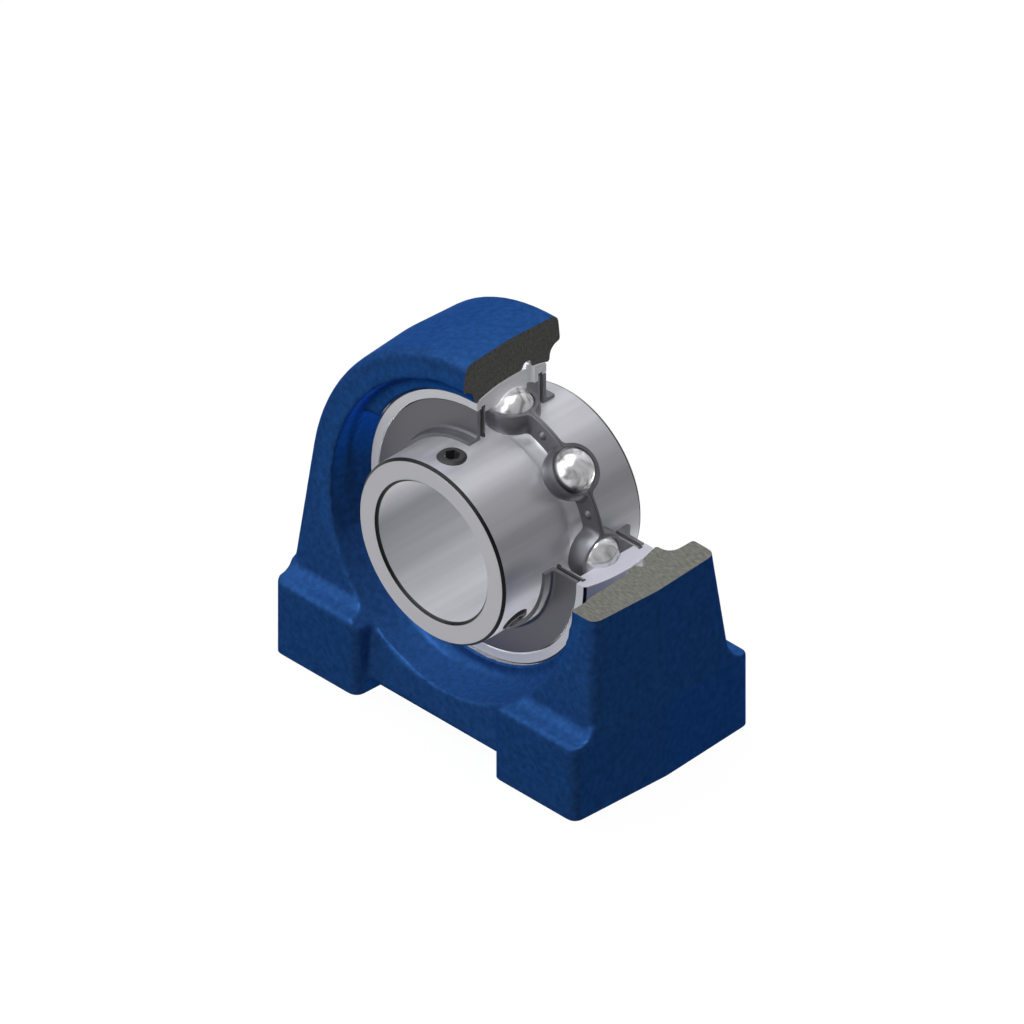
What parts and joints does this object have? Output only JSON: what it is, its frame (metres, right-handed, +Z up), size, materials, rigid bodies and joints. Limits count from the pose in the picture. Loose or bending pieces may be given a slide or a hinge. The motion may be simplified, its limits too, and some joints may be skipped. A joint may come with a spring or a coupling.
{
  "type": "pillow block bearing",
  "caption": "Cast pillow block with a short tapped base and a set screw ball bearing insert, shown with a quarter cut away.",
  "frame": {"origin": "centre of the base on the plane that the feet stand on, below the middle of the bearing", "axes": "+Z up, X along the base, Y along the shaft with the set screws towards -Y"},
  "size_m": [0.0852, 0.0482, 0.083],
  "materials": {
    "housing_paint": "blue machine enamel over cast iron, bare iron on the cut faces",
    "outer_ring_steel": "ground bearing steel",
    "inner_ring_steel": "ground bearing steel with dark chamfers",
    "ball_steel": "polished bearing steel",
    "cage_steel": "pressed strip steel, satin",
    "rivet_steel": "headed steel wire",
    "seal_plate_steel": "pressed sheet steel",
    "seal_rubber": "moulded black nitrile rubber",
    "flinger_steel": "pressed sheet steel, satin",
    "screw_steel": "black oxide"
  },
  "bodies": {
    "housing": {"housing": "housing_paint"},
    "outer": {"outer_ring": "outer_ring_steel", "seal_plate_front": "seal_plate_steel", "seal_plate_back": "seal_plate_steel", "seal_rubber_front": "seal_rubber", "seal_rubber_back": "seal_rubber"},
    "inner": {"inner_ring": "inner_ring_steel", "flinger_front": "flinger_steel", "flinger_back": "flinger_steel", "set_screw_top": "screw_steel", "set_screw_side": "screw_steel"},
    "cage": {"cage_front": "cage_steel", "cage_back": "cage_steel", "cage_rivets": "rivet_steel"},
    "ball_body_1": {"ball_1": "ball_steel"},
    "ball_body_2": {"ball_2": "ball_steel"},
    "ball_body_3": {"ball_3": "ball_steel"},
    "ball_body_4": {"ball_4": "ball_steel"},
    "ball_body_5": {"ball_5": "ball_steel"},
    "ball_body_6": {"ball_6": "ball_steel"},
    "ball_body_7": {"ball_7": "ball_steel"},
    "ball_body_8": {"ball_8": "ball_steel"}
  },
  "joints": [
    {"name": "insert_swivel", "type": "hinge", "parent": "housing", "child": "outer", "pos_m": [0, 0, 0.0429], "axis": [1, 0, 0], "range_deg": [-5, 5]},
    {"name": "inner_spin", "type": "hinge", "parent": "outer", "child": "inner", "pos_m": [0, 0, 0.0429], "axis": [0, 1, 0], "continuous": true},
    {"name": "cage_spin", "type": "hinge", "parent": "outer", "child": "cage", "pos_m": [0, 0, 0.0429], "axis": [0, 1, 0], "continuous": true},
    {"name": "ball_1_spin", "type": "hinge", "parent": "cage", "child": "ball_body_1", "pos_m": [0.023, 0, 0.0429], "axis": [0, 1, 0], "continuous": true},
    {"name": "ball_2_spin", "type": "hinge", "parent": "cage", "child": "ball_body_2", "pos_m": [0.01626, 0, 0.05916], "axis": [0, 1, 0], "continuous": true},
    {"name": "ball_3_spin", "type": "hinge", "parent": "cage", "child": "ball_body_3", "pos_m": [0, 0, 0.0659], "axis": [0, 1, 0], "continuous": true},
    {"name": "ball_4_spin", "type": "hinge", "parent": "cage", "child": "ball_body_4", "pos_m": [-0.01626, 0, 0.05916], "axis": [0, 1, 0], "continuous": true},
    {"name": "ball_5_spin", "type": "hinge", "parent": "cage", "child": "ball_body_5", "pos_m": [-0.023, 0, 0.0429], "axis": [0, 1, 0], "continuous": true},
    {"name": "ball_6_spin", "type": "hinge", "parent": "cage", "child": "ball_body_6", "pos_m": [-0.01626, 0, 0.02664], "axis": [0, 1, 0], "continuous": true},
    {"name": "ball_7_spin", "type": "hinge", "parent": "cage", "child": "ball_body_7", "pos_m": [0, 0, 0.0199], "axis": [0, 1, 0], "continuous": true},
    {"name": "ball_8_spin", "type": "hinge", "parent": "cage", "child": "ball_body_8", "pos_m": [0.01626, 0, 0.02664], "axis": [0, 1, 0], "continuous": true}
  ],
  "couplings": [
    {"joint": "cage_spin", "follows": "inner_spin", "ratio": 0.3965},
    {"joint": "ball_1_spin", "follows": "inner_spin", "ratio": -2.3112},
    {"joint": "ball_2_spin", "follows": "inner_spin", "ratio": -2.3112},
    {"joint": "ball_3_spin", "follows": "inner_spin", "ratio": -2.3112},
    {"joint": "ball_4_spin", "follows": "inner_spin", "ratio": -2.3112},
    {"joint": "ball_5_spin", "follows": "inner_spin", "ratio": -2.3112},
    {"joint": "ball_6_spin", "follows": "inner_spin", "ratio": -2.3112},
    {"joint": "ball_7_spin", "follows": "inner_spin", "ratio": -2.3112},
    {"joint": "ball_8_spin", "follows": "inner_spin", "ratio": -2.3112}
  ]
}
